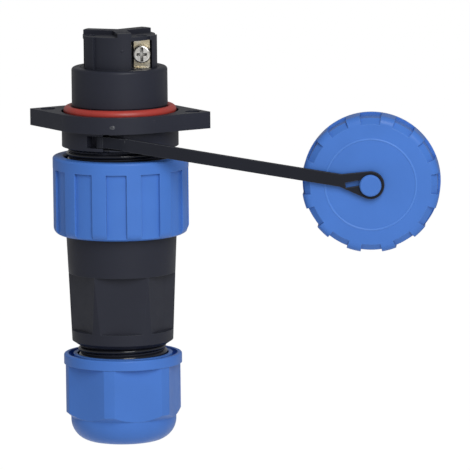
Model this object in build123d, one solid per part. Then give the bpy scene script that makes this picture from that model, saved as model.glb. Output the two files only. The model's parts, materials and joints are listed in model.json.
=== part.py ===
from build123d import *
import os
from math import cos, radians, sin, sqrt

# A three-pole waterproof power connector: a receptacle for a panel, with a tethered dust cap, and the
# cable plug that is mated to it. Sizes are in millimetres, angles in degrees.
# The origin is the centre of the flange face that lies against the panel. +Z points through the panel
# to the wiring terminals, and +X runs from one flange ear to the other.

# Clearances
fit_gap = 0.15            # between pieces that are assembled into each other
running_gap = 0.3         # between pieces that move against each other
seat_gap = 0.05           # between a piece and the face it sits on
thread_clearance = 0.6    # between the crests of the neck and the plain bore of what screws on it

# Receptacle body
panel_hole_radius = 14.1
panel_hole_clearance = 0.1
rear_height = 12.85
rear_edge_round = 0.9
flange_radius = 19.25
flange_thickness = 4.85
ear_tip_round = 0.4
ear_hole_radius = 2.25
ear_hole_spacing = 43.4
ear_corner = 5.5236       # from the hole's centre to where the sides of the ear would meet
collar_step = 1.2         # of the collar's surface outside the thread's crests
collar_height = 5.35
neck_crest_radius = 15.85
neck_length = 14.8
thread_depth = 0.7
neck_wall = 1.95
neck_edge_chamfer = 0.5

# Flange seal
seal_section = 2.7
seal_proud = 1.6
seal_relief = 0.3         # of the seal's seat inside the rear cylinder
seal_relief_rise = 0.2    # of the seat above the top of the seal
seal_groove_spare = 0.75

# Terminal blocks, the same on the receptacle and the plug
pole_count = 3
pole_angle = -77.0        # direction in which the first terminal pocket opens
rear_wall = 2.55          # of the rear cylinder round the terminal block
tower_height = 22.3
pocket_width = 6.0
pocket_height = 8.35
pocket_back = 2.4         # from the axis to the back wall of a pocket
pole_offset = 6.65        # of a pole's centre line, to the side of the axis
lintel_height = 1.1
tower_rib = 0.75          # of the ribs beside the pockets, outside the receptacle's tower
rib_angle = 67.0          # of a rib's middle, from the direction in which the pocket opens
rib_width = 24.0          # degrees
ridge_angle = -67.0
ridge_width = 4.1
ridge_height = 1.2
ridge_notch_start = 5.5    # from the axis
ridge_notch_length = 1.5
ridge_notch_depth = 0.5
wire_hole_radius = 1.6
wire_hole_step = 0.2      # from the terminal plate to the hole

# Contacts and terminal screws
plate_width = 4.7
plate_height = 8.1
plate_thickness = 1.2
stem_radius = 2.1
pin_radius = 1.75
pin_length = 10.5
pin_tip_round = 1.2
socket_wall = 0.85
socket_gap = 0.1
socket_slit_width = 0.5
socket_slit_length = 7.0
socket_spare_depth = 1.0  # of the socket's bore beyond the pin
socket_floor = 2.0        # from the end of the bore to the end of the sleeve
screw_head_radius = 2.6
screw_head_height = 2.0
screw_shank_radius = 1.5
screw_shank_length = 5.4
screw_head_round = 0.5
screw_height = 4.0        # of the screw above the pocket floor
drive_slot_width = 0.8
drive_slot_length = 4.2
drive_cross_length = 3.0
drive_depth = 1.1

# Mating interface
insert_seat_depth = 6.0   # from the panel face down to the shoulder that stops the insert
insert_shoulder_height = 2.5
interface_seal_height = 1.5
interface_seal_width = 1.7
nose_wall = 1.75
nose_recess = 0.5         # of the plug insert's face inside the nose
key_width = 2.4
key_height = 0.8
key_angle = 90.0

# Plug shell, and the coupling ring that it carries
ring_wall = 3.4
ring_to_collar = 3.0
ring_lip_height = 4.0
ring_skirt = 3.9
ring_top_round = 0.7
ring_bottom_round = 2.4
ring_mouth_chamfer = 0.5
ring_groove_count = 12
ring_groove_angle = -80.0
ring_groove_width = 17.5  # degrees
ring_groove_depth = 0.75
ring_groove_start = 3.5
shoulder_height = 2.4
shoulder_to_neck = 0.6
journal_step = 0.5        # of the journal outside the rear thread
rear_thread_step = 0.2    # of the rear thread outside the nose
rear_thread_length = 10.4
rear_thread_wall = 0.95
rear_thread_gap = 0.1     # round the rear thread, in the back shell
plug_insert_shoulder = 3.9
plug_insert_rise = 1.65   # from the top of the plug's shoulder up to the step that stops the insert
plug_tower_height = 28.0
retainer_height = 1.9
retainer_width = 1.4
plug_tower_step = 0.2     # of the plug's terminal block inside the retainer
shell_seal_height = 1.5
shell_seal_width = 1.05

# Back shell
shell_side_gap = 0.3      # to the skirt of the coupling ring
shell_waist_taper = 0.7
shell_end_taper = 1.35
shell_length = 34.9
shell_end_chamfer = 1.2
shell_end_chamfer_width = 1.76
chamber_step = 1.1        # inwards from the plug's rear thread
chamber_taper = 1.5
flat_count = 6
flat_angle = -77.0
flat_depth = 1.29         # at the lower end of the shell
flat_top = 14.9           # from the top of the back shell to the upper end of the flats
flat_length = 16.8
seat_lip_height = 2.0
lip_above_seat = 3.5      # from the lower end of the shell's taper up to the grommet's seat lip
seat_lip_step = 1.6
tail_step = 1.7           # from the taper's end in to the crests of the tail's thread
tail_wall = 1.5
tail_length = 16.0
tail_mouth_step = 0.8
tail_mouth_length = 3.0

# Cable gland
cable_radius = 5.5
grommet_length = 10.0
grommet_chamfer = 1.0
claw_wall = 3.0
claw_play = 2.7           # between the end of the tail and the base of the claw
claw_base_height = 1.8
claw_base_step = 0.9      # inwards from the bore of the nut
claw_finger_length = 7.6
claw_finger_count = 8
claw_slit_width = 1.1
claw_tip_length = 1.2
claw_tip_step = 0.8
nut_to_shell = 3.95
nut_facet_wall = 2.15
nut_corner_step = 1.55    # of the round corners outside the facets
nut_band_step = 0.2       # of the band outside the round corners
nut_band_height = 2.9
nut_facet_count = 6
nut_facet_angle = -60.0
nut_facet_end = 17.0      # from the top of the nut to the end of the full facets
nut_facet_chamfer = 1.5
nut_height = 25.85
nut_dome_inset = 0.12     # of the dome inside the facets
nut_dome_straight = 0.9
nut_hole_play = 1.5       # round the cable
nut_thread_wall = 1.1
nut_rim_groove_width = 1.5
nut_rim_groove_depth = 2.0
nut_end_wall = 3.2
nut_floor_step = 1.3
nut_edge_round = 0.5

# Dust cap and its strap. The strap lies in a plane turned by strap_angle from the ear axis.
strap_angle = 10.0
cap_wall = 3.6
cap_height = 10.0
cap_front_round = 2.4
cap_front_wall = 2.0
cap_groove_count = 12
cap_groove_width = 18.0   # degrees
cap_groove_depth = 0.8
cap_groove_rim = 1.0
cap_groove_bevel = 1.75   # of the grooves' floor towards the front
cap_mark_radius = 13.0
cap_mark_width = 0.35
cap_mark_depth = 0.15
cap_gasket_height = 1.2
cap_gasket_width = 3.6
button_radius = 3.15
button_proud = 2.75
button_edge = 0.35
button_neck_radius = 1.6
strap_thickness = 1.3
strap_width = 3.6
strap_run = 73.5          # from the connector's axis to the button, along the strap's plane
strap_start = (2.5, -7.95)
strap_middle = (38.0, -14.0)
strap_end_height = -19.9
strap_root_width = 3.2
strap_root_length = 2.6
strap_bend_radius = 6.0
eyelet_radius = 4.0       # of the strap's end round the button
eyelet_taper = 7.8        # from the button's centre to where the end has narrowed
eyelet_root_radius = 2.0
eyelet_slot_width = 1.6
eyelet_slot_length = 7.4
knuckle_angle = -17.4     # of the strap's knuckle round the collar, from the strap plane's normal
knuckle_radius = 1.25
knuckle_pin_radius = 0.65
knuckle_pin_gap = 0.08
knuckle_depth = 1.25      # from the collar's surface to the knuckle's axis
anchor_left = -31.0       # edges of the recess round the knuckle, in degrees as above
anchor_right = -6.9
anchor_bar_half = 4.1     # half the width of the bars above and below the knuckle, in degrees
anchor_rim = 0.87         # height of collar left above and below the knuckle

# Worked out from the sizes above: radii
rear_radius = panel_hole_radius - panel_hole_clearance
seal_seat_radius = rear_radius - seal_relief
insert_bore_radius = rear_radius - rear_wall
insert_radius = insert_bore_radius - fit_gap
tower_radius = insert_radius - tower_rib
collar_radius = neck_crest_radius + collar_step
neck_radius = neck_crest_radius - thread_depth
neck_bore_radius = neck_radius - neck_wall
nose_radius = neck_bore_radius - running_gap
nose_bore_radius = nose_radius - nose_wall
ring_bore_radius = neck_crest_radius + thread_clearance
ring_radius = ring_bore_radius + ring_wall
shoulder_radius = neck_crest_radius
rear_thread_radius = nose_radius + rear_thread_step
rear_bore_radius = rear_thread_radius - rear_thread_wall
retainer_inner_radius = rear_bore_radius - retainer_width
plug_tower_radius = retainer_inner_radius - plug_tower_step
journal_radius = rear_thread_radius + journal_step
shell_top_radius = ring_bore_radius - shell_side_gap
shell_waist_radius = shell_top_radius - shell_waist_taper
shell_end_radius = shell_top_radius - shell_end_taper
chamber_top_radius = rear_thread_radius - chamber_step
chamber_end_radius = chamber_top_radius - chamber_taper
flat_apothem = shell_end_radius - flat_depth
tail_crest_radius = shell_end_radius - tail_step
tail_radius = tail_crest_radius - thread_depth
tail_bore_radius = tail_radius - tail_wall
tail_mouth_radius = tail_bore_radius + tail_mouth_step
seat_lip_radius = tail_bore_radius - seat_lip_step
claw_finger_radius = tail_bore_radius - running_gap
claw_bore_radius = claw_finger_radius - claw_wall
nut_bore_radius = tail_crest_radius + running_gap
claw_base_radius = nut_bore_radius - claw_base_step
nut_apothem = nut_bore_radius + nut_facet_wall
nut_corner_radius = nut_apothem + nut_corner_step
nut_band_radius = nut_corner_radius + nut_band_step
nut_dome_radius = nut_apothem - nut_dome_inset
nut_hole_radius = cable_radius + nut_hole_play
cap_bore_radius = ring_bore_radius
cap_radius = cap_bore_radius + cap_wall

# Worked out from the sizes above: heights, from the terminals down to the gland
flange_back = -flange_thickness
collar_end = flange_back - collar_height
neck_end = collar_end - neck_length
insert_seat = -insert_seat_depth
insert_face = insert_seat - insert_shoulder_height - seat_gap
interface_seal_end = insert_face - interface_seal_height - seat_gap
nose_end = interface_seal_end - running_gap
pin_end = insert_face - pin_length
plug_face = nose_end - nose_recess
ring_top = collar_end - ring_to_collar
shoulder_top = neck_end - shoulder_to_neck
shoulder_end = shoulder_top - shoulder_height
lip_top = shoulder_end - running_gap
lip_end = lip_top - ring_lip_height
shell_top = lip_end - running_gap
ring_end = lip_end - ring_skirt
plug_insert_seat = shoulder_top + plug_insert_rise
plug_tower_start = plug_insert_seat - plug_insert_shoulder
plug_shell_end = shell_top - rear_thread_length
chamber_top = plug_shell_end - shell_seal_height - 2 * seat_gap
shell_end = shell_top - shell_length
lip_start = shell_end + lip_above_seat
grommet_seat = lip_start - seat_lip_height
grommet_end = grommet_seat - grommet_length
tail_end = shell_end - tail_length
nut_top = shell_end - nut_to_shell
nut_end = nut_top - nut_height
claw_base_top = tail_end - claw_play
claw_base_end = claw_base_top - claw_base_height
nut_floor = claw_base_end - seat_gap


def turned(*corners):
    """Solid turned about the axis from its (radius, height) corners."""
    return revolve(Plane.XZ * Polygon(*corners, align=None), Axis.Z)


def disc(radius, bottom, top):
    """Solid cylinder on the axis."""
    return Pos(0, 0, (bottom + top) / 2) * Cylinder(radius, top - bottom)


def tube(outer, inner, bottom, top):
    """Hollow cylinder on the axis."""
    return turned((inner, bottom), (outer, bottom), (outer, top), (inner, top))


def block(x, y, z):
    """Box between two values along each of the three directions."""
    size = [high - low for low, high in (x, y, z)]
    centre = [(high + low) / 2 for low, high in (x, y, z)]
    return Pos(*centre) * Box(*size)


def sector(inner, outer, bottom, top, centre_angle, width):
    """Part of a hollow cylinder that is width degrees wide about centre_angle."""
    profile = Plane.XZ * Polygon((inner, bottom), (outer, bottom), (outer, top), (inner, top), align=None)
    return Rot(0, 0, centre_angle - width / 2) * revolve(profile, Axis.Z, revolution_arc=width)


def edges_at(solid, radius, height):
    """Round edges of a turned solid with this radius at this height."""
    return [
        edge for edge in solid.edges().filter_by(GeomType.CIRCLE)
        if abs(edge.radius - radius) < 0.001 and abs(edge.center().Z - height) < 0.001
    ]


def poles():
    """Places of the poles: local X points out of the terminal pocket, local Y to its right."""
    return [Rot(0, 0, pole_angle + 360 / pole_count * k) for k in range(pole_count)]


def flipped(solid, height):
    """The solid turned end for end in height, with its plan kept."""
    return Pos(0, 0, height) * mirror(solid, Plane.XY)


def flange():
    """Round flange with two pointed ears whose sides run on from the circle."""
    tip = ear_hole_spacing / 2 + ear_corner
    x = flange_radius ** 2 / tip
    y = sqrt(flange_radius ** 2 - x ** 2)
    ears = ((tip, 0), (x, y), (-x, y), (-tip, 0), (-x, -y), (x, -y))
    plan = Circle(flange_radius) + Polygon(*ears, align=None)
    tips = [corner for corner in plan.vertices() if abs(abs(corner.X) - tip) < 0.001]
    plan = fillet(tips, ear_tip_round)
    return extrude(plan, -flange_thickness)


def anchor_sector(inner, outer, bottom, top, left, right):
    """Sector of the collar between two angles counted from the strap plane's normal."""
    facing = strap_angle - 90
    return sector(inner, outer, bottom, top, facing + (left + right) / 2, right - left)


def knuckle_place():
    """Axis of the strap's knuckle, in the strap's own plane directions (along, outwards)."""
    reach = collar_radius - knuckle_depth
    return reach * sin(radians(knuckle_angle)), reach * cos(radians(knuckle_angle))


def strap_plan():
    """Line of the strap seen from above: from the knuckle out over the collar, then straight to the cap."""
    along, outwards = knuckle_place()
    over_collar = -(collar_radius + running_gap + strap_thickness / 2)
    return FilletPolyline(
        (along, -outwards), (strap_start[0], over_collar), (strap_run + eyelet_radius + 1, over_collar),
        radius=strap_bend_radius)


def receptacle_body():
    """Flange, rear cylinder, collar with the strap's anchor, and threaded neck, moulded in one piece."""
    outside = turned(
        (0, rear_height), (rear_radius, rear_height), (rear_radius, seal_proud + seal_relief_rise),
        (seal_seat_radius, seal_proud + seal_relief_rise), (seal_seat_radius, flange_back),
        (collar_radius, flange_back), (collar_radius, collar_end), (neck_radius, collar_end),
        (neck_radius, neck_end), (0, neck_end))
    outside = fillet(edges_at(outside, rear_radius, rear_height), rear_edge_round)
    outside = chamfer(edges_at(outside, neck_radius, neck_end), neck_edge_chamfer)
    body = outside + flange()
    body -= disc(insert_bore_radius, insert_seat - 1, rear_height + 1)
    body -= disc(neck_bore_radius, neck_end - 1, insert_seat)
    groove_outer = seal_seat_radius + seal_section + seal_groove_spare
    body -= tube(groove_outer, seal_seat_radius, seal_proud - seal_section - seat_gap, 1)
    for side in (-1, 1):
        body -= Pos(side * ear_hole_spacing / 2, 0, 0) * disc(ear_hole_radius, flange_back - 1, 1)
    body += Rot(0, 0, key_angle) * block(
        (neck_bore_radius - key_height, neck_bore_radius + 0.5), (-key_width / 2, key_width / 2),
        (neck_end, interface_seal_end - running_gap))
    return body - strap_anchor() + knuckle_pin()


def strap_anchor():
    """Recess in the collar for the strap's knuckle, the slot it leaves by, and the ramp over the collar."""
    floor_radius = collar_radius - knuckle_depth - knuckle_radius - running_gap
    low = collar_end + anchor_rim
    high = flange_back - anchor_rim
    beyond = collar_radius + 1
    bar_edge = knuckle_angle + anchor_bar_half
    recess = anchor_sector(floor_radius, beyond, low, high, anchor_left, anchor_right)
    slot = anchor_sector(floor_radius, beyond, collar_end - 0.01, flange_back, bar_edge, anchor_right)
    ramp_plan = trace(strap_plan(), strap_thickness + 2 * running_gap)
    ramp = Rot(0, 0, strap_angle) * Pos(0, 0, low - 0.4) * extrude(ramp_plan, high + 0.3 - (low - 0.4))
    return recess + slot + ramp


def knuckle_pin():
    """Upright pin, part of the collar, on which the strap turns."""
    along, outwards = knuckle_place()
    pin = disc(knuckle_pin_radius, collar_end + anchor_rim - 0.2, flange_back - anchor_rim + 0.2)
    return Rot(0, 0, strap_angle) * Pos(along, -outwards, 0) * pin


def flange_seal():
    """Sealing ring of round section that stands out of its groove in the flange."""
    half = seal_section / 2
    ring = Torus(seal_seat_radius + half + seat_gap, half)
    return Pos(0, 0, seal_proud - half) * ring


def terminal_tower(radius, rib, floor, height):
    """Three-pole block standing on the height zero, with its pockets starting at floor. Up to there it is as
    wide as its ribs."""
    top = height + ridge_height
    beyond = radius + rib + 1
    tower = disc(radius + rib, 0, top)
    beside_ridge = disc(beyond, height, top + 1)
    arm = block((0, beyond + 1), (-ridge_width / 2, ridge_width / 2), (height - 1, top + 2))
    for k in range(pole_count):
        beside_ridge -= Rot(0, 0, ridge_angle + 360 / pole_count * k) * arm
    tower -= beside_ridge
    notch_end = ridge_notch_start + ridge_notch_length
    tower -= Rot(0, 0, ridge_angle) * block(
        (ridge_notch_start, notch_end), (-ridge_width, ridge_width), (top - ridge_notch_depth, top + 1))
    left, right = pole_offset - pocket_width / 2, pole_offset + pocket_width / 2
    pocket = block((pocket_back, beyond), (left, right), (floor, floor + pocket_height))
    step = 360 / pole_count
    setback = sector(radius, beyond, floor, top + 1, rib_angle + step / 2, step - rib_width)
    stem_place = Pos(pocket_back + plate_thickness / 2, pole_offset, 0)
    stem_hole = stem_place * disc(stem_radius + fit_gap, -1, floor + 1)
    wire_place = Pos(pocket_back + plate_thickness + wire_hole_step + wire_hole_radius, pole_offset, 0)
    wire_hole = wire_place * disc(wire_hole_radius, floor + pocket_height - 1, top + 1)
    screw_hole = Pos(pocket_back, pole_offset, floor + screw_height) * Rot(0, 90, 0) * Cylinder(
        screw_shank_radius + 2 * fit_gap, 2 * screw_shank_length)
    for place in poles():
        for cut in (setback, pocket, stem_hole, wire_hole, screw_hole):
            tower -= place * cut
    return tower


def receptacle_insert():
    """Terminal block of the receptacle, with a shoulder that stops it in the body."""
    start = insert_face
    floor = tower_height - lintel_height - pocket_height
    tower = terminal_tower(tower_radius, tower_rib, floor - start, tower_height - start)
    insert = Pos(0, 0, start) * tower
    insert += tube(neck_bore_radius - fit_gap, insert_radius - 1, insert_face, insert_seat - seat_gap)
    for place in poles():
        insert -= place * Pos(pocket_back + plate_thickness / 2, pole_offset, 0) * disc(
            stem_radius + fit_gap, insert_face - 1, floor + 0.5)
    return insert


def terminal_plate(floor):
    """Plate of a contact, standing in its pocket from just above the floor, with the screw's hole."""
    left, right = pole_offset - plate_width / 2, pole_offset + plate_width / 2
    plate = block((pocket_back + seat_gap, pocket_back + plate_thickness), (left, right),
                  (floor, floor + plate_height))
    hole = Pos(pocket_back, pole_offset, floor + screw_height - seat_gap) * Rot(0, 90, 0) * Cylinder(
        screw_shank_radius + socket_gap, 4 * plate_thickness)
    return plate - hole


def pin_contact():
    """Receptacle contact of the first pole: terminal plate, stem through the insert, and pin."""
    floor = tower_height - lintel_height - pocket_height + seat_gap
    contact = Pos(pocket_back + plate_thickness / 2, pole_offset, 0) * (
        disc(stem_radius, insert_face, floor)
        + fillet(edges_at(disc(pin_radius, pin_end, insert_face + 1), pin_radius, pin_end), pin_tip_round))
    return contact + terminal_plate(floor)


def terminal_screw():
    """Screw of the first pole at the height of the pocket floor, pointing towards the axis."""
    face = pocket_back + plate_thickness + seat_gap
    head = Cylinder(screw_head_radius, screw_head_height, align=(Align.CENTER, Align.CENTER, Align.MIN))
    head = fillet(head.edges().group_by(Axis.Z)[-1], screw_head_round)
    top = screw_head_height
    cut = (top - drive_depth, top + 1)
    half_width = (-drive_slot_width / 2, drive_slot_width / 2)
    drive = block((-drive_slot_length / 2, drive_slot_length / 2), half_width, cut)
    drive += block(half_width, (-drive_cross_length / 2, drive_cross_length / 2), cut)
    shank = Pos(0, 0, -screw_shank_length / 2) * Cylinder(screw_shank_radius, screw_shank_length + 0.2)
    return Pos(face, pole_offset, screw_height) * Rot(0, 90, 0) * (head - drive + shank)


def receptacle_screw_height():
    """Height at which the receptacle's terminal screws are built."""
    return tower_height - lintel_height - pocket_height


def interface_seal():
    """Flat ring that the nose of the plug meets, round the face of the receptacle insert."""
    outer = neck_bore_radius - fit_gap
    return tube(outer, outer - interface_seal_width, interface_seal_end, insert_face - seat_gap)


def plug_shell():
    """Nose, shoulder, journal of the coupling ring and rear thread of the cable plug."""
    step = plug_insert_seat
    shell = turned(
        (nose_bore_radius, nose_end), (nose_radius, nose_end), (nose_radius, shoulder_top),
        (shoulder_radius, shoulder_top), (shoulder_radius, shoulder_end), (journal_radius, shoulder_end),
        (journal_radius, shell_top), (rear_thread_radius, shell_top), (rear_thread_radius, plug_shell_end),
        (rear_bore_radius, plug_shell_end), (rear_bore_radius, step), (nose_bore_radius, step))
    shell = chamfer(edges_at(shell, nose_radius, nose_end), neck_edge_chamfer)
    keyway_half = key_width / 2 + running_gap
    return shell - Rot(0, 0, key_angle) * block(
        (neck_bore_radius - key_height - running_gap, nose_radius + 1), (-keyway_half, keyway_half),
        (shoulder_top, nose_end + 1))


def plug_insert():
    """Contact carrier of the plug, with its terminal block pointing down into the back shell."""
    floor = plug_tower_height - lintel_height - pocket_height
    insert = flipped(terminal_tower(plug_tower_radius, 0, floor, plug_tower_height), plug_tower_start)
    insert += disc(rear_bore_radius - fit_gap, plug_tower_start, plug_insert_seat - seat_gap)
    insert += disc(nose_bore_radius - fit_gap, plug_tower_start, plug_face)
    sleeve_radius = pin_radius + socket_gap + socket_wall
    for place in poles():
        centre = place * Pos(pocket_back + plate_thickness / 2, pole_offset, 0)
        insert -= centre * disc(sleeve_radius + fit_gap, sleeve_end() - seat_gap, plug_face + 1)
        insert -= centre * disc(stem_radius + fit_gap, plug_tower_start - floor - 0.5, sleeve_end())
    return insert


def sleeve_end():
    """Height at which a socket's sleeve ends and its stem starts."""
    return pin_end - socket_spare_depth - socket_floor


def socket_contact():
    """Plug contact of the first pole: slit sleeve round the pin, stem and terminal plate."""
    sleeve_top = plug_face - running_gap
    radius = pin_radius + socket_gap
    sleeve = disc(radius + socket_wall, sleeve_end(), sleeve_top)
    sleeve -= disc(radius, pin_end - socket_spare_depth, sleeve_top + 1)
    slit = block((-radius * 2, radius * 2), (-socket_slit_width / 2, socket_slit_width / 2),
                 (sleeve_top - socket_slit_length, sleeve_top + 1))
    sleeve -= slit + Rot(0, 0, 90) * slit
    floor = plug_tower_start - (plug_tower_height - lintel_height - pocket_height) - seat_gap
    contact = Pos(pocket_back + plate_thickness / 2, pole_offset, 0) * (
        sleeve + disc(stem_radius, floor, sleeve_end()))
    return contact + flipped(terminal_plate(0), floor)


def insert_retainer():
    """Ring that holds the plug insert against the step of the shell."""
    top = plug_tower_start - seat_gap
    return tube(rear_bore_radius - seat_gap, retainer_inner_radius, top - retainer_height, top)


def back_shell_seal():
    """Flat sealing ring between the end of the plug shell and the step in the back shell."""
    outer = rear_thread_radius + seat_gap
    return tube(outer - seat_gap, outer - shell_seal_width, chamber_top + seat_gap, plug_shell_end - seat_gap)


def grip_grooves(count, first_angle, width, floor_radius, outer_radius, bottom, top):
    """Shallow grooves for the fingers, evenly spread round a turned solid."""
    cut = sector(floor_radius, outer_radius, bottom, top, first_angle, width)
    return [Rot(0, 0, 360 / count * k) * cut for k in range(count)]


def coupling_ring():
    """Ring that screws on the neck, held on the plug by its inner lip."""
    lip_radius = journal_radius + running_gap
    bore = ring_bore_radius
    ring = turned(
        (bore, ring_top), (ring_radius, ring_top), (ring_radius, ring_end), (bore, ring_end),
        (bore, lip_end), (lip_radius, lip_end), (lip_radius, lip_top), (bore, lip_top))
    ring = fillet(edges_at(ring, ring_radius, ring_end), min(ring_bottom_round, 0.9 * ring_wall))
    ring = fillet(edges_at(ring, ring_radius, ring_top), ring_top_round)
    ring = chamfer(edges_at(ring, ring_bore_radius, ring_top), ring_mouth_chamfer)
    for groove in grip_grooves(ring_groove_count, ring_groove_angle, ring_groove_width,
                               ring_radius - ring_groove_depth, ring_radius + 1, ring_end - 1,
                               ring_top - ring_groove_start):
        ring -= groove
    return ring


def back_shell():
    """Tapered shell over the wiring, with six wrench flats and the threaded tail of the gland."""
    top_straight = ring_end
    thread_bore = rear_thread_radius + rear_thread_gap
    profile = Polyline(
        (thread_bore, shell_top), (shell_top_radius, shell_top), (shell_top_radius, top_straight))
    middle = (top_straight + shell_end) / 2
    side_pull = 2 * shell_waist_radius - (shell_top_radius + shell_end_radius) / 2
    side = Bezier((shell_top_radius, top_straight), (side_pull, middle), (shell_end_radius, shell_end))
    chamfer_end = shell_end - shell_end_chamfer
    rest = Polyline(
        (shell_end_radius, shell_end), (shell_end_radius - shell_end_chamfer_width, chamfer_end),
        (tail_radius, chamfer_end), (tail_radius, tail_end), (tail_mouth_radius, tail_end),
        (tail_bore_radius, tail_end + tail_mouth_length), (tail_bore_radius, grommet_seat),
        (seat_lip_radius, grommet_seat), (seat_lip_radius, lip_start), (chamber_end_radius, lip_start),
        (chamber_top_radius, chamber_top), (thread_bore, chamber_top), (thread_bore, shell_top))
    shell = revolve(Plane.XZ * make_face(profile + side + rest), Axis.Z)
    flat = block((flat_apothem, shell_top_radius + 1), (-shell_top_radius, shell_top_radius),
                 (shell_top - flat_top - flat_length, shell_top - flat_top))
    for k in range(flat_count):
        shell -= Rot(0, 0, flat_angle + 360 / flat_count * k) * flat
    return shell


def gland_grommet():
    """Rubber bush that closes on the cable."""
    outer = tail_bore_radius - fit_gap
    bush = turned((cable_radius, grommet_end), (outer, grommet_end), (outer, grommet_seat - seat_gap),
                  (cable_radius, grommet_seat - seat_gap))
    return chamfer(edges_at(bush, outer, grommet_end), grommet_chamfer)


def gland_claw():
    """Ring of fingers that the nut pushes into the tail, where they close on the cable."""
    finger_radius = claw_finger_radius
    claw = turned(
        (claw_bore_radius, claw_base_end), (claw_base_radius, claw_base_end),
        (claw_base_radius, claw_base_top), (finger_radius, claw_base_top),
        (finger_radius, claw_base_top + claw_finger_length - claw_tip_length),
        (finger_radius - claw_tip_step, claw_base_top + claw_finger_length),
        (claw_bore_radius, claw_base_top + claw_finger_length))
    slit = block((0, tail_bore_radius + 1), (-claw_slit_width / 2, claw_slit_width / 2),
                 (claw_base_top, claw_base_top + claw_finger_length + 1))
    for k in range(claw_finger_count):
        claw -= Rot(0, 0, 360 / claw_finger_count * k) * slit
    return claw


def gland_nut():
    """Six-sided nut with a round top band and a domed end."""
    band_end = nut_top - nut_band_height
    facet_end = nut_top - nut_facet_end
    dome_top = facet_end - nut_facet_chamfer
    nut = turned(
        (0, nut_top), (nut_band_radius, nut_top), (nut_band_radius, band_end), (nut_corner_radius, band_end),
        (nut_corner_radius, facet_end), (nut_dome_radius, dome_top), (nut_dome_radius, nut_end), (0, nut_end))
    nut = fillet(edges_at(nut, nut_dome_radius, nut_end), dome_top - nut_end - nut_dome_straight)
    nut = fillet(edges_at(nut, nut_band_radius, nut_top), nut_edge_round)
    across = (-nut_band_radius, nut_band_radius)
    facet = block((nut_apothem, nut_band_radius + 1), across, (dome_top, band_end))
    for k in range(nut_facet_count):
        nut -= Rot(0, 0, nut_facet_angle + 360 / nut_facet_count * k) * facet
    inside = turned(
        (0, nut_top + 1), (nut_bore_radius, nut_top + 1), (nut_bore_radius, nut_floor),
        (nut_bore_radius - nut_floor_step, nut_floor), (nut_hole_radius, nut_end + nut_end_wall),
        (nut_hole_radius, nut_end - 1), (0, nut_end - 1))
    groove_inner = nut_bore_radius + nut_thread_wall
    groove_outer = groove_inner + nut_rim_groove_width
    rim_groove = tube(groove_outer, groove_inner, nut_top - nut_rim_groove_depth, nut_top + 1)
    return nut - inside - rim_groove


def cap_place():
    """Turns the cap's own axis, which points out of its front, to lie along the strap plane's normal."""
    front = collar_radius
    return Rot(0, 0, strap_angle) * Pos(strap_run, -front, strap_end_height) * Rot(90, 0, 0)


def cap():
    """Dust cap with the button for the strap on its front and the opening at its back."""
    neck_top = 2 * running_gap + strap_thickness
    solid = turned((0, 0), (cap_radius, 0), (cap_radius, -cap_height), (0, -cap_height))
    solid = fillet(edges_at(solid, cap_radius, 0), cap_front_round)
    floor_radius = cap_radius - cap_groove_depth
    core = turned((0, 1), (floor_radius - cap_groove_bevel - 1, 1), (floor_radius, -cap_groove_bevel),
                  (floor_radius, -cap_height), (0, -cap_height))
    for groove in grip_grooves(cap_groove_count, 90.0, cap_groove_width, cap_bore_radius, cap_radius + 1,
                               cap_groove_rim - cap_height, 1):
        solid -= groove - core
    solid -= disc(cap_bore_radius, -cap_height - 1, -cap_front_wall)
    mark_outer = cap_mark_radius + cap_mark_width
    solid -= tube(mark_outer, cap_mark_radius, -cap_mark_depth, 1)
    solid += disc(button_neck_radius, -1, neck_top + 0.1)
    button = disc(button_radius, neck_top, button_proud)
    return solid + chamfer(edges_at(button, button_radius, button_proud), button_edge)


def cap_gasket():
    """Flat ring inside the cap that seals on the end of the neck."""
    top = -cap_front_wall - seat_gap
    outer = cap_bore_radius - fit_gap
    return tube(outer, outer - cap_gasket_width, top - cap_gasket_height, top)


def cap_strap():
    """Flat tether, where its outline from the front and its line from above overlap."""
    along, outwards = knuckle_place()
    end = (strap_run, strap_end_height)
    arc = ThreePointArc(strap_start, strap_middle, end)
    slope = (end[1] - strap_middle[1]) / (end[0] - strap_middle[0])
    tilt = (1 + slope * slope) ** 0.5
    direction = Vector(1 / tilt, slope / tilt)
    eye = Vector(*end)
    outline = trace(arc, strap_width)
    knuckle_z = collar_end + collar_height / 2
    root_line = Polyline((along, knuckle_z), (along + strap_root_length, knuckle_z), strap_start)
    outline += trace(root_line, strap_root_width)
    root = eye - direction * eyelet_taper
    eyelet = Pos(*end) * Circle(eyelet_radius) + Pos(root.X, root.Y) * Circle(eyelet_root_radius)
    outline += make_hull(eyelet.edges())
    turn = Vector(1, 0).get_signed_angle(direction)
    outline -= Pos(*end) * Circle(button_neck_radius + fit_gap)
    slot_centre = eye - direction * eyelet_slot_length / 2
    slot = Rectangle(eyelet_slot_length, eyelet_slot_width)
    outline -= Pos(slot_centre.X, slot_centre.Y) * Rot(0, 0, turn) * slot
    reach = 2 * collar_radius
    front = extrude(Plane.XZ * outline, reach)
    height = flange_thickness - strap_end_height + strap_width * 2
    seen_above = Pos(0, 0, -height) * extrude(trace(strap_plan(), strap_thickness), height)
    strap = front & seen_above
    knuckle_low = knuckle_z - strap_root_width / 2
    knuckle_high = knuckle_z + strap_root_width / 2
    centre = Pos(along, -outwards, 0)
    strap += centre * disc(knuckle_radius, knuckle_low, knuckle_high)
    strap -= centre * disc(knuckle_pin_radius + knuckle_pin_gap, knuckle_low - 1, knuckle_high + 1)
    return Rot(0, 0, strap_angle) * strap


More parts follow.
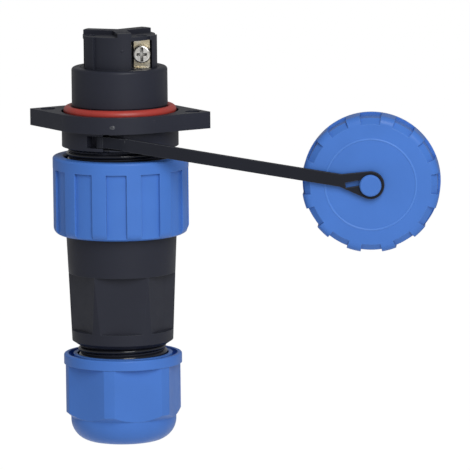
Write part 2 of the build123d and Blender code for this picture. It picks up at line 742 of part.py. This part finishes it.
def all_pieces():
    """Every piece by its name, each in its place."""
    pieces = {
        "receptacle_body": receptacle_body(),
        "flange_seal": flange_seal(),
        "receptacle_insert": receptacle_insert(),
        "interface_seal": interface_seal(),
        "plug_shell": plug_shell(),
        "plug_insert": plug_insert(),
        "insert_retainer": insert_retainer(),
        "back_shell_seal": back_shell_seal(),
        "coupling_ring": coupling_ring(),
        "back_shell": back_shell(),
        "gland_grommet": gland_grommet(),
        "gland_claw": gland_claw(),
        "gland_nut": gland_nut(),
        "cap_strap": cap_strap(),
        "cap": cap_place() * cap(),
        "cap_gasket": cap_place() * cap_gasket(),
    }
    pin = pin_contact()
    socket = socket_contact()
    screw = terminal_screw()
    plug_screw = flipped(screw, plug_tower_start - (plug_tower_height - lintel_height - pocket_height))
    plug_screws = []
    for number, place in enumerate(poles(), start=1):
        pieces[f"pin_contact_{number}"] = place * pin
        pieces[f"socket_contact_{number}"] = place * socket
        pieces[f"terminal_screw_{number}"] = place * Pos(0, 0, receptacle_screw_height()) * screw
        plug_screws.append(place * plug_screw)
    pieces["plug_terminal_screws"] = Compound(children=plug_screws)
    return pieces


os.makedirs("parts", exist_ok=True)
for name, piece in all_pieces().items():
    export_step(piece, f"parts/{name}.step")
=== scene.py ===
import json
from math import cos, pi, radians, sin

import bpy
import numpy as np
from mathutils import Matrix, Vector


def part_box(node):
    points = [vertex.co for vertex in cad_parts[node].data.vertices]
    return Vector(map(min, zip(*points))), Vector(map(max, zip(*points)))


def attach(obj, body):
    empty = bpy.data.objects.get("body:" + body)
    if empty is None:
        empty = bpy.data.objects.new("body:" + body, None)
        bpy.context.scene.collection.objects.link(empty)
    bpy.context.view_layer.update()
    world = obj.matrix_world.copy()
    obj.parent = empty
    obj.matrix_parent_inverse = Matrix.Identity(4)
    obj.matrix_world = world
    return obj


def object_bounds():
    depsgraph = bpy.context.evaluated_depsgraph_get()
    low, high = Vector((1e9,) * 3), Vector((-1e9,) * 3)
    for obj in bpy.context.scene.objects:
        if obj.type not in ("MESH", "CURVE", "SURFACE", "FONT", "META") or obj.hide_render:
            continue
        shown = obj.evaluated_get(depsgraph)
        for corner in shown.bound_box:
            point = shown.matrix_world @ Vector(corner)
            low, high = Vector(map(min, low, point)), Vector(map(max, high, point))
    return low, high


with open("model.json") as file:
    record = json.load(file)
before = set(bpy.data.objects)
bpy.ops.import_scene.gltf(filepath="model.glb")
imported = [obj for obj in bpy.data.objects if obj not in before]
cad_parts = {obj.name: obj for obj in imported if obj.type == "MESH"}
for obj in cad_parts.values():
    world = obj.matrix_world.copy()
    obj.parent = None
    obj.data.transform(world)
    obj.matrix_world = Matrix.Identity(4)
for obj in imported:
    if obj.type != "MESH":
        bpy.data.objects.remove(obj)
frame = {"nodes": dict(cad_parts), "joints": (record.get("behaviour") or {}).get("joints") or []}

bpy.context.view_layer.update()
cad_low, cad_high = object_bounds()

# Looks of a mated panel connector: a receptacle on its flange, the cable plug screwed to it, and the
# tethered dust cap. Sizes of new pieces are in millimetres and angles in degrees, and go into the mesh
# in metres.
MM = 0.001
nodes = frame["nodes"]

# The photograph's view, with pixels counted in its 470 by 470 frame
picture_size = 470
flange_centre_pixel = (119.9, 110.0)   # where the centre of the flange's panel face lies
pixels_per_mm = 3.43
camera_azimuth = 13.0
camera_elevation = 8.2
camera_roll = 0.6
camera_distance = 1900.0
camera_clip = (0.1, 20.0)              # in metres
sensor_width = 36.0

# Surroundings, floor and lamp
world_strength = 0.32
floor_half = 6000.0
floor_gap = 36.0                       # below the connector, so that the pulled plug clears the floor
floor_colour = (0.93, 0.93, 0.93)
floor_white = 1.06                     # strength of the white that the floor itself gives
floor_white_share = 0.92
pool_radius = 120.0                    # round the object, where mirrored rays find that white
lamp_azimuth, lamp_elevation = 30.0, 35.0
lamp_distance = 900.0
lamp_width, lamp_height = 400.0, 600.0
lamp_power = 5.25                      # in watts
lamp_aim = (20.0, 0.0, -40.0)

# Threads: helical ridges that stand on the plain cylinders of the solids
thread_pitch = 2.0
thread_root_share = 0.86               # of the pitch that a ridge takes at its foot
thread_crest_share = 0.22              # of the pitch that a ridge takes at its crest
thread_shoulder_rise = 0.78            # of the depth, where the flank turns into the crest
thread_crest_rise = 0.97               # of the depth, at both sides of the crest
thread_foot = 0.05                     # how far a ridge reaches into the wall that carries it
thread_runout = 50.0                   # angle over which a ridge fades at each end
thread_steps = 96                      # segments in one turn
mouth_margin = 1.2                     # from a mouth to the middle of the first ridge
neck_core_radius, neck_crest_radius = 15.15, 15.85
neck_thread_span = (-23.47, -9.8)      # its phase is the photograph's, as is the tail's
tail_core_radius, tail_crest_radius = 12.4, 13.1
tail_thread_span = (-81.17, -69.0)
ring_bore_radius, ring_thread_end = 16.45, -27.2
nut_bore_radius, nut_thread_end = 13.4, -84.5
cap_thread_span = (-9.0, -4.4)         # behind the cap's front
inner_ridge_height = 0.45
nut_ridge_height = 0.22

# Low ring on the cap's face
ring_radius, ring_half_width, ring_rise = 13.17, 0.32, 0.12
ring_steps = 240
ring_across = (-1.0, -0.6, -0.2, 0.2, 0.6, 1.0)   # points of its section, in half widths

# Marks of the mould: each has its angle and height on a wall, and its half width and half height
mark_steps = 24                        # segments across a mark
mark_foot = 0.08                       # how far its back lies inside the wall
mark_sink = 0.01                       # how far its rim lies inside the wall
flange_radius, block_radius = 19.25, 10.55
gate_place, gate_half_size = (-82.6, -2.8), (0.95, 0.62)
gate_plateau, gate_peak, gate_wave = 0.10, 0.25, 0.03
pip_place, pip_half_size = (-44.1, -1.3), (0.7, 0.6)
pip_plateau, pip_wave = 0.14, 0.03
dimple_place, dimple_half_size = (-71.4, 18.3), (0.55, 0.55)
dimple_plateau, dimple_depth = 0.22, 0.1

# Surface detail: noise scales count per metre, depths are in millimetres
shading_samples = 6                    # rays for rounded edges and for creases
mottle_scale, patch_scale, patch_swing = 60.0, 220.0, 0.14
draw_scale, draw_depth = 1600.0, 0.006
flow_scale, flow_depth = 25.0, 0.05
scuff_scale, scuff_stretch, scuff_roughness = 900.0, (0.25, 1.0, 0.6), 0.12
scuff_start, scuff_end = 0.68, 0.76    # of the noise; so high that scuffs are sparse
# Painted highlight on rounded edges, spread over this range
edge_start, edge_end = 0.80, 0.995     # cosine of the angle between the rounded and the plain normal
# Painted shade in creases and recesses: it fades between these open shares of the surroundings and reaches
# this far, in millimetres
crease_start, crease_end = 0.25, 0.75  # open share of the surroundings
crease_reach = 0.9
plating_round = 0.12
plating_scale, plating_start, plating_end = 350.0, 0.4, 0.65
plating_swing, plating_patch_scale = 0.3, 900.0
stamp_scale, stamp_depth = 2500.0, 0.012
# Painted shade in the recesses of plated metal: less metallic and rougher there, so that it stays dark
recess_shade_metallic, recess_shade_roughness = 0.35, 0.4

# Sockets of the mix node that carry colours
mix_first, mix_second, mix_result = 6, 7, 2


def heights(node):
    """Lowest and highest height of a node, in millimetres."""
    low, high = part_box(node)
    return low.z / MM, high.z / MM


def smooth(share):
    """Rises from 0 to 1 as share does, level at both ends."""
    share = np.clip(share, 0.0, 1.0)
    return share * share * (3.0 - 2.0 * share)


def placed(points, place):
    """Points in millimetres, turned and moved by a matrix that works on millimetres."""
    return points @ np.array(place.to_3x3()).T + np.array(place.translation)


def mesh_piece(name, points, faces, finish, body):
    """A piece from its points in millimetres and its faces, turned so that they face outwards."""
    points = np.asarray(points, float).reshape(-1, 3)
    triangles = np.array([(face[0], face[k], face[k + 1]) for face in faces for k in range(1, len(face) - 1)])
    first, second, third = (points[triangles[:, k]] for k in range(3))
    if np.einsum("ij,ij->", first, np.cross(second, third)) < 0:
        faces = [face[::-1] for face in faces]
    mesh = bpy.data.meshes.new(name)
    mesh.from_pydata((points * MM).tolist(), [], faces)
    mesh.polygons.foreach_set("use_smooth", np.ones(len(mesh.polygons), bool))
    mesh.materials.append(finish)
    mesh.update()
    piece = bpy.data.objects.new(name, mesh)
    bpy.context.scene.collection.objects.link(piece)
    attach(piece, body)
    return piece


def swept_faces(rows, columns):
    """Faces of a grid of rows by columns that is closed across its columns and capped at both ends."""
    index = np.arange(rows * columns).reshape(rows, columns)
    beside = np.roll(index, -1, axis=1)
    quads = np.stack([index[:-1], beside[:-1], beside[1:], index[1:]], axis=-1).reshape(-1, 4)
    return quads.tolist() + [index[0, ::-1].tolist(), index[-1].tolist()]


def thread_points(carrier_radius, crest_radius, bottom, top):
    """Helical ridge between two heights. The section is a trapezoid with a rounded crest: its foot lies
    inside the carrier, its crest at crest_radius. The angle runs along the helix, the height rises by one
    pitch a turn, and the ridge's height fades to nothing over the run-out at each end."""
    turns = (top - bottom) / thread_pitch
    angle = np.linspace(0.0, turns * 2 * pi, int(turns * thread_steps) + 1)
    runout = radians(thread_runout)
    fade = smooth(angle / runout) * smooth((angle[-1] - angle) / runout)
    outwards = np.sign(crest_radius - carrier_radius)
    depth = abs(crest_radius - carrier_radius)
    foot, crest = thread_root_share * thread_pitch / 2, thread_crest_share * thread_pitch / 2
    shoulder = (foot + 3 * crest) / 4
    offset = np.array([-foot, -foot, -shoulder, -crest, 0.0, crest, shoulder, foot, foot])
    flank = [0.0, thread_shoulder_rise * depth, thread_crest_rise * depth]
    rise = np.array([-thread_foot, *flank, depth, *flank[::-1], -thread_foot])
    height = np.where(rise > 0, rise * fade[:, None], rise)
    radius = carrier_radius + outwards * height
    z = bottom + thread_pitch * angle[:, None] / (2 * pi) + offset
    return np.stack([radius * np.cos(angle)[:, None], radius * np.sin(angle)[:, None], z], axis=-1)


def thread(name, carrier_radius, crest_radius, bottom, top, finish, body, slot, place=None):
    """A thread on the connector's axis, or on another axis given by a matrix."""
    points = thread_points(carrier_radius, crest_radius, bottom, top)
    rows, columns = points.shape[:2]
    if place is not None:
        points = placed(points, place)
    return mesh_piece(name, points, swept_faces(rows, columns), finish, body)


def raised_mark(name, radius, place, half_size, rise, finish, body):
    """Small mark on a wall turned about the axis. Its front is the wall's cylinder lifted by rise(u, v) times
    a factor that falls to nothing at the rim, where u and v run from -1 to 1; its back lies inside the
    wall."""
    angle, height = place
    half_width, half_height = half_size
    share = np.linspace(-1.0, 1.0, mark_steps + 1)
    across, along = np.meshgrid(share, share)
    u, v = across * np.sqrt(1 - along ** 2 / 2), along * np.sqrt(1 - across ** 2 / 2)
    lift = rise(u, v) * (1 - smooth(np.hypot(u, v)))
    turn = radians(angle) + u * half_width / radius
    sides = []
    for reach in (radius + lift - mark_sink, np.full_like(lift, radius - mark_foot)):
        side = np.stack([reach * np.cos(turn), reach * np.sin(turn), height + v * half_height], axis=-1)
        sides.append(side.reshape(-1, 3))
    front = np.arange(u.size).reshape(u.shape)
    back = front + u.size
    rim = np.concatenate([front[0, :-1], front[:-1, -1], front[-1, :0:-1], front[:0:-1, 0]])
    following = np.roll(rim, -1)
    faces = [[front[:-1, :-1], front[:-1, 1:], front[1:, 1:], front[1:, :-1]],
             [back[:-1, :-1], back[1:, :-1], back[1:, 1:], back[:-1, 1:]],
             [following, rim, rim + u.size, following + u.size]]
    faces = np.concatenate([np.stack(group, axis=-1).reshape(-1, 4) for group in faces])
    return mesh_piece(name, np.concatenate(sides), faces.tolist(), finish, body)


def feed(tree, socket, value):
    """Links a socket to another one, or gives it a value."""
    if isinstance(value, bpy.types.NodeSocket):
        tree.links.new(value, socket)
    else:
        socket.default_value = value


def add_node(tree, kind, settings=None, **inputs):
    """A shader node with its settings and the values or links of its inputs."""
    made = tree.nodes.new(kind)
    for key, value in (settings or {}).items():
        setattr(made, key, value)
    for key, value in inputs.items():
        feed(tree, made.inputs[key.replace("_", " ")], value)
    return made


def reckon(tree, operation, *values):
    """Result of an arithmetic operation on values or links."""
    made = add_node(tree, "ShaderNodeMath", {"operation": operation})
    for socket, value in zip(made.inputs, values):
        feed(tree, socket, value)
    return made.outputs["Value"]


def object_place(tree):
    """Place on the object's own coordinates, in metres."""
    return add_node(tree, "ShaderNodeTexCoord").outputs["Object"]


def noise(tree, place, scale, detail=3.0, roughness=0.55):
    """Noise on the object's own coordinates, with scale counted per metre."""
    return add_node(tree, "ShaderNodeTexNoise", Vector=place, Scale=scale, Detail=detail,
                    Roughness=roughness).outputs["Fac"]


def streaks(tree, place, stretch, scale):
    """Noise drawn out where stretch is small, for marks that run one way."""
    drawn = add_node(tree, "ShaderNodeMapping", Vector=place, Scale=stretch).outputs["Vector"]
    return noise(tree, drawn, scale, 2.0)


def spread(tree, value, low, high, start=0.3, end=0.7):
    """The value, which lies mostly between start and end, spread over low to high."""
    return add_node(tree, "ShaderNodeMapRange", Value=value, From_Min=start, From_Max=end, To_Min=low,
                    To_Max=high).outputs["Result"]


def blend(tree, share, first, second):
    """Colour between two colours or links, by a share that is a value or a link."""
    made = add_node(tree, "ShaderNodeMix", {"data_type": "RGBA"}, Factor=share)
    for socket, value in ((made.inputs[mix_first], first), (made.inputs[mix_second], second)):
        feed(tree, socket, value if isinstance(value, bpy.types.NodeSocket) else (*value, 1))
    return made.outputs[mix_result]


def rounded_normal(tree, radius):
    """Normal that rounds the edges by a radius in millimetres."""
    return add_node(tree, "ShaderNodeBevel", {"samples": shading_samples},
                    Radius=radius * MM).outputs["Normal"]


def relief(tree, height, depth, normal):
    """Normal disturbed by a height from 0 to 1 that stands for a depth in millimetres."""
    return add_node(tree, "ShaderNodeBump", Height=height, Distance=depth * MM, Strength=1.0,
                    Normal=normal).outputs["Normal"]


def edge_mask(tree, rounded):
    """How far the rounded normal departs from the plain one: 0 on faces, up to 1 on edges."""
    plain = add_node(tree, "ShaderNodeNewGeometry").outputs["Normal"]
    match = add_node(tree, "ShaderNodeVectorMath", {"operation": "DOT_PRODUCT"})
    tree.links.new(plain, match.inputs[0])
    tree.links.new(rounded, match.inputs[1])
    return spread(tree, match.outputs["Value"], 1.0, 0.0, edge_start, edge_end)


def painted_shade_mask(tree, reach):
    """Painted shade: 1 deep in corners that are narrower than reach, in millimetres, and 0 on open faces."""
    open_share = add_node(tree, "ShaderNodeAmbientOcclusion", {"samples": shading_samples},
                          Distance=reach * MM).outputs["AO"]
    return spread(tree, open_share, 1.0, 0.0, crease_start, crease_end)


def new_finish(name):
    """A new material with its node tree and its shader."""
    material = bpy.data.materials.new(name)
    material.use_nodes = True
    return material, material.node_tree, material.node_tree.nodes["Principled BSDF"]


def moulded(name, colour, edge_highlight_colour, roughness, grain_height, edge_round=0.2, reflection=0.5, mottle=0.05,
            grain_size=0.35, draw=(1.0, 1.0, 0.03), crease=0.3):
    """Moulded plastic or rubber: slight unevenness of colour, painted shade in creases, a fine grain and draw
    marks from the mould, sparse scuffs, and rounded edges painted paler as a highlight."""
    material, tree, shader = new_finish(name)
    place = object_place(tree)
    rounded = rounded_normal(tree, edge_round)
    deeper = [channel * (1 - mottle) for channel in colour]
    paler = [min(channel * (1 + mottle), 1.0) for channel in colour]
    # Painted shade: the colour darkened by the share crease
    shade = [channel * (1 - crease) for channel in colour]
    base = blend(tree, spread(tree, noise(tree, place, mottle_scale), 0.0, 1.0), deeper, paler)
    # Painted highlight: rounded edges take the paler edge colour
    edge_highlit = blend(tree, edge_mask(tree, rounded), base, edge_highlight_colour)
    # Painted shade laid into creases over the base colour and the painted edge highlight
    feed(tree, shader.inputs["Base Color"], blend(tree, painted_shade_mask(tree, crease_reach), edge_highlit, shade))

    scuffs = spread(tree, streaks(tree, place, scuff_stretch, scuff_scale), 0.0, scuff_roughness, scuff_start,
                    scuff_end)
    patches = spread(tree, noise(tree, place, patch_scale, 4.0), roughness * (1 - patch_swing),
                     roughness * (1 + patch_swing))
    feed(tree, shader.inputs["Roughness"], reckon(tree, "ADD", patches, scuffs))

    grain = relief(tree, noise(tree, place, 1.0 / (grain_size * MM), 2.0), grain_height, rounded)
    lines = relief(tree, streaks(tree, place, draw, draw_scale), draw_depth, grain)
    flow = relief(tree, noise(tree, place, flow_scale, 1.0), flow_depth, lines)
    feed(tree, shader.inputs["Normal"], flow)
    feed(tree, shader.inputs["Specular IOR Level"], reflection)
    return material


def plated(name, colour, warm_colour, recess_shade_colour, roughness, recess):
    """Plated metal: thin plating with the warm metal showing through in patches, painted shade in what lies
    deeper than recess, in millimetres, and fine stamping marks."""
    material, tree, shader = new_finish(name)
    place = object_place(tree)
    patches = spread(tree, noise(tree, place, plating_scale, 4.0), 0.0, 1.0, plating_start, plating_end)
    # Painted shade: recesses darken to the shade colour and lose their metallic sheen
    painted_recess_shade = painted_shade_mask(tree, recess)
    base = blend(tree, patches, colour, warm_colour)
    feed(tree, shader.inputs["Base Color"], blend(tree, painted_recess_shade, base, recess_shade_colour))
    feed(tree, shader.inputs["Metallic"], spread(tree, painted_recess_shade, 1.0, recess_shade_metallic, 0.0, 1.0))

    uneven = spread(tree, noise(tree, place, plating_patch_scale), roughness * (1 - plating_swing),
                    roughness * (1 + plating_swing))
    dulled = spread(tree, painted_recess_shade, 0.0, recess_shade_roughness, 0.0, 1.0)
    feed(tree, shader.inputs["Roughness"], reckon(tree, "ADD", uneven, dulled))

    marks = noise(tree, place, stamp_scale, 2.0)
    feed(tree, shader.inputs["Normal"], relief(tree, marks, stamp_depth, rounded_normal(tree, plating_round)))
    return material


def finish_nodes(finish, names):
    """Gives CAD nodes, which keep their shape, a finish."""
    for name in names:
        for slot in nodes[name].material_slots:
            slot.material = finish


# Finishes: colour, colour of the painted edge highlight, roughness, height of the grain, and what departs
# from the usual
blue_nylon = moulded("blue_nylon", (0.066, 0.192, 0.60), (0.13, 0.30, 0.72), 0.38, 0.004, edge_round=0.22,
                     reflection=0.22)
# Paler copy of the blue for the ridge on the cap's face: a painted highlight along it, with no painted shade
# in its creases
ring_highlight_nylon = moulded("ring_highlight_nylon", (0.084, 0.228, 0.665), (0.125, 0.295, 0.73), 0.38, 0.004,
                     edge_round=0.05, reflection=0.3, crease=0.0)
black_nylon = moulded("black_nylon", (0.0228, 0.0248, 0.0372), (0.05, 0.054, 0.07), 0.42, 0.006,
                      reflection=0.2)
black_insert = moulded("black_insert_nylon", (0.021, 0.023, 0.034), (0.05, 0.053, 0.07), 0.44, 0.004,
                       edge_round=0.16, reflection=0.2)
thread_nylon = moulded("thread_nylon", (0.012, 0.013, 0.018), (0.04, 0.042, 0.05), 0.16, 0.001,
                       edge_round=0.1, reflection=0.45)
strap_rubber = moulded("strap_rubber", (0.0125, 0.014, 0.021), (0.11, 0.115, 0.13), 0.55, 0.008,
                       edge_round=0.22, reflection=0.15, grain_size=0.25, draw=(0.03, 1.0, 1.0))
red_silicone = moulded("red_silicone", (0.43, 0.043, 0.032), (0.60, 0.09, 0.06), 0.42, 0.006,
                       mottle=0.08, grain_size=0.25)
dark_rubber = moulded("dark_rubber", (0.016, 0.016, 0.017), (0.03, 0.03, 0.03), 0.62, 0.01, reflection=0.2)
# Paler than the flange: partly the whitened nylon of a torn gate, partly a painted highlight on the stub
torn_nylon_and_highlight = moulded("torn_nylon_and_highlight", (0.06, 0.063, 0.075), (0.16, 0.16, 0.18), 0.3, 0.03, grain_size=0.2)

# Platings: colour, colour of the metal below, colour of the painted shade in recesses, roughness, and depth
# of the recesses
plated_brass = plated("plated_brass", (0.86, 0.82, 0.70), (0.80, 0.68, 0.44), (0.10, 0.075, 0.045), 0.3, 0.7)
plated_steel = plated("plated_steel", (0.90, 0.89, 0.86), (0.84, 0.81, 0.74), (0.03, 0.027, 0.024), 0.24, 1.5)

finish_nodes(blue_nylon, ["coupling_ring", "gland_nut", "cap"])
finish_nodes(black_nylon, ["receptacle_body", "plug_shell", "back_shell", "insert_retainer", "gland_claw"])
finish_nodes(black_insert, ["receptacle_insert", "plug_insert"])
finish_nodes(strap_rubber, ["cap_strap"])
finish_nodes(red_silicone, ["flange_seal"])
finish_nodes(dark_rubber, ["interface_seal", "back_shell_seal", "gland_grommet", "cap_gasket"])
finish_nodes(plated_brass, [name for name in nodes if "contact" in name])
finish_nodes(plated_steel, [name for name in nodes if "terminal_screw" in name])


def cap_axis():
    """Turns and moves a piece from the connector's axis to the axis on which the cap spins, front upwards."""
    spin = next(joint for joint in frame["joints"] if joint["child"] == "cap")
    turn = Vector(spin["axis"]).to_track_quat("Z", "Y").to_matrix().to_4x4()
    return Matrix.Translation(Vector(spin["pos_m"]) / MM) @ turn


def put_threads():
    """Outer threads of the neck and the tail, and the inner threads of what screws on them."""
    ring_top, nut_top = heights("coupling_ring")[1], heights("gland_nut")[1]
    thread("neck_thread", neck_core_radius, neck_crest_radius, *neck_thread_span, thread_nylon, "receptacle",
           "black_shell")
    thread("tail_thread", tail_core_radius, tail_crest_radius, *tail_thread_span, thread_nylon, "plug",
           "black_shell")
    thread("ring_thread", ring_bore_radius, ring_bore_radius - inner_ridge_height, ring_thread_end,
           ring_top - mouth_margin, blue_nylon, "ring", "blue_shell")
    thread("nut_thread", nut_bore_radius, nut_bore_radius - nut_ridge_height, nut_thread_end,
           nut_top - mouth_margin, blue_nylon, "nut", "blue_shell")
    thread("cap_thread", ring_bore_radius, ring_bore_radius - inner_ridge_height, *cap_thread_span,
           blue_nylon, "cap", "blue_shell", cap_axis())


def put_cap_ring():
    """Low ridge round the cap's face. Its section is half a cosine wave, ring_half_width either side of
    ring_radius and ring_rise high, carried round the circle, with its foot inside the face."""
    angle = np.linspace(0.0, 2 * pi, ring_steps, endpoint=False)[:, None]
    crown = np.array(ring_across)
    across = np.concatenate([crown[:1], crown, crown[-1:]])
    rise = np.concatenate([[-mark_foot], ring_rise * np.cos(crown * pi / 2), [-mark_foot]])
    radius = ring_radius + ring_half_width * across
    points = np.stack([radius * np.cos(angle), radius * np.sin(angle), rise + 0 * angle], axis=-1)
    index = np.arange(ring_steps * across.size).reshape(ring_steps, -1)
    onwards, beside = np.roll(index, -1, axis=0), np.roll(index, -1, axis=1)
    faces = np.stack([index, onwards, np.roll(onwards, -1, axis=1), beside], axis=-1).reshape(-1, 4)
    mesh_piece("cap_ring", placed(points, cap_axis()), faces.tolist(), ring_highlight_nylon, "cap")


def torn_gate(u, v):
    """Stub of a gate: a plateau with a peak in the middle and shallow waves across it."""
    waves = np.sin(5 * u + 2) * np.cos(4 * v)
    return gate_plateau + gate_peak * np.exp(-7 * (u * u + v * v)) + gate_wave * waves


def wavy_pip(u, v):
    """Pip with one shallow wave across it."""
    return pip_plateau + pip_wave * np.sin(6 * u)


def dimpled_pip(u, v):
    """Pip with a dimple in the middle."""
    return dimple_plateau - dimple_depth * np.exp(-8 * (u * u + v * v))


def put_marks():
    """Marks that the mould left on the solids."""
    raised_mark("flange_gate", flange_radius, gate_place, gate_half_size, torn_gate, torn_nylon_and_highlight, "receptacle")
    raised_mark("flange_pip", flange_radius, pip_place, pip_half_size, wavy_pip, black_nylon, "receptacle")
    raised_mark("block_pip", block_radius, dimple_place, dimple_half_size, dimpled_pip, black_insert,
                "receptacle")


put_threads()
put_cap_ring()
put_marks()


def seen_directly(tree, beside):
    """1 for rays from the camera, and a given share for mirrored and transmitted ones."""
    path = add_node(tree, "ShaderNodeLightPath").outputs
    mirrored = reckon(tree, "MAXIMUM", path["Is Glossy Ray"], path["Is Transmission Ray"])
    return reckon(tree, "MAXIMUM", path["Is Camera Ray"], reckon(tree, "MULTIPLY", mirrored, beside))


def studio_world():
    """Even surroundings that light the object softly."""
    world = bpy.data.worlds.new("studio")
    bpy.context.scene.world = world
    world.use_nodes = True
    surroundings = world.node_tree.nodes["Background"]
    surroundings.inputs["Color"].default_value = (1, 1, 1, 1)
    surroundings.inputs["Strength"].default_value = world_strength


def studio_floor():
    """Plain pale floor under the connector. What sees it directly gets most of its white from the floor
    itself, so that only a soft shadow is left. Mirrored rays find that white in the lit pool round the
    object."""
    low = cad_low.z - floor_gap * MM
    half = floor_half * MM
    mesh = bpy.data.meshes.new("floor")
    mesh.from_pydata([(-half, -half, low), (half, -half, low), (half, half, low), (-half, half, low)], [],
                     [(0, 1, 2, 3)])
    floor = bpy.data.objects.new("floor", mesh)
    bpy.context.scene.collection.objects.link(floor)
    material = bpy.data.materials.new("pale_floor")
    material.use_nodes = True
    tree = material.node_tree
    tree.nodes.clear()
    plain = add_node(tree, "ShaderNodeBsdfDiffuse", Color=(*floor_colour, 1))
    white = add_node(tree, "ShaderNodeEmission", Color=(1, 1, 1, 1), Strength=floor_white)
    away = add_node(tree, "ShaderNodeVectorMath", {"operation": "LENGTH"},
                    Vector=object_place(tree)).outputs["Value"]
    pool = spread(tree, away, 1.0, 0.0, pool_radius * MM, 2 * pool_radius * MM)
    share = reckon(tree, "MULTIPLY", seen_directly(tree, pool), floor_white_share)
    both = add_node(tree, "ShaderNodeMixShader", Fac=share)
    tree.links.new(plain.outputs["BSDF"], both.inputs[1])
    tree.links.new(white.outputs["Emission"], both.inputs[2])
    output = tree.nodes.new("ShaderNodeOutputMaterial")
    tree.links.new(both.outputs["Shader"], output.inputs["Surface"])
    mesh.materials.append(material)


def direction(azimuth, elevation):
    """Unit vector from the object towards a viewer at this azimuth, counted from -Y towards +X, and
    elevation."""
    across = cos(radians(elevation))
    return Vector((sin(radians(azimuth)) * across, -cos(radians(azimuth)) * across, sin(radians(elevation))))


def key_lamp():
    """Soft rectangular lamp that faces the object."""
    lamp = bpy.data.lights.new("key_lamp", "AREA")
    lamp.shape = "RECTANGLE"
    lamp.size, lamp.size_y = lamp_width * MM, lamp_height * MM
    lamp.energy = lamp_power
    holder = bpy.data.objects.new("key_lamp", lamp)
    bpy.context.scene.collection.objects.link(holder)
    away = direction(lamp_azimuth, lamp_elevation)
    holder.location = Vector(lamp_aim) * MM + away * lamp_distance * MM
    holder.rotation_mode = "QUATERNION"
    holder.rotation_quaternion = away.to_track_quat("Z", "Y")


def photo_camera():
    """Camera at the photograph's angle, placed so that the flange's centre falls on its pixel."""
    back = direction(camera_azimuth, camera_elevation)
    turn = back.to_track_quat("Z", "Y").to_matrix() @ Matrix.Rotation(radians(-camera_roll), 3, "Z")
    right, up = turn.col[0], turn.col[1]
    middle = picture_size / 2
    pixel_x, pixel_y = flange_centre_pixel
    aim = (right * (middle - pixel_x) + up * (pixel_y - middle)) / pixels_per_mm
    camera = bpy.data.cameras.new("camera")
    camera.sensor_width = sensor_width
    camera.lens = sensor_width * pixels_per_mm * camera_distance / picture_size
    camera.clip_start, camera.clip_end = camera_clip
    holder = bpy.data.objects.new("camera", camera)
    bpy.context.scene.collection.objects.link(holder)
    holder.matrix_world = Matrix.Translation((aim + back * camera_distance) * MM) @ turn.to_4x4()
    bpy.context.scene.camera = holder


studio_world()
studio_floor()
key_lamp()
photo_camera()

bpy.context.scene.view_settings.view_transform = "Standard"
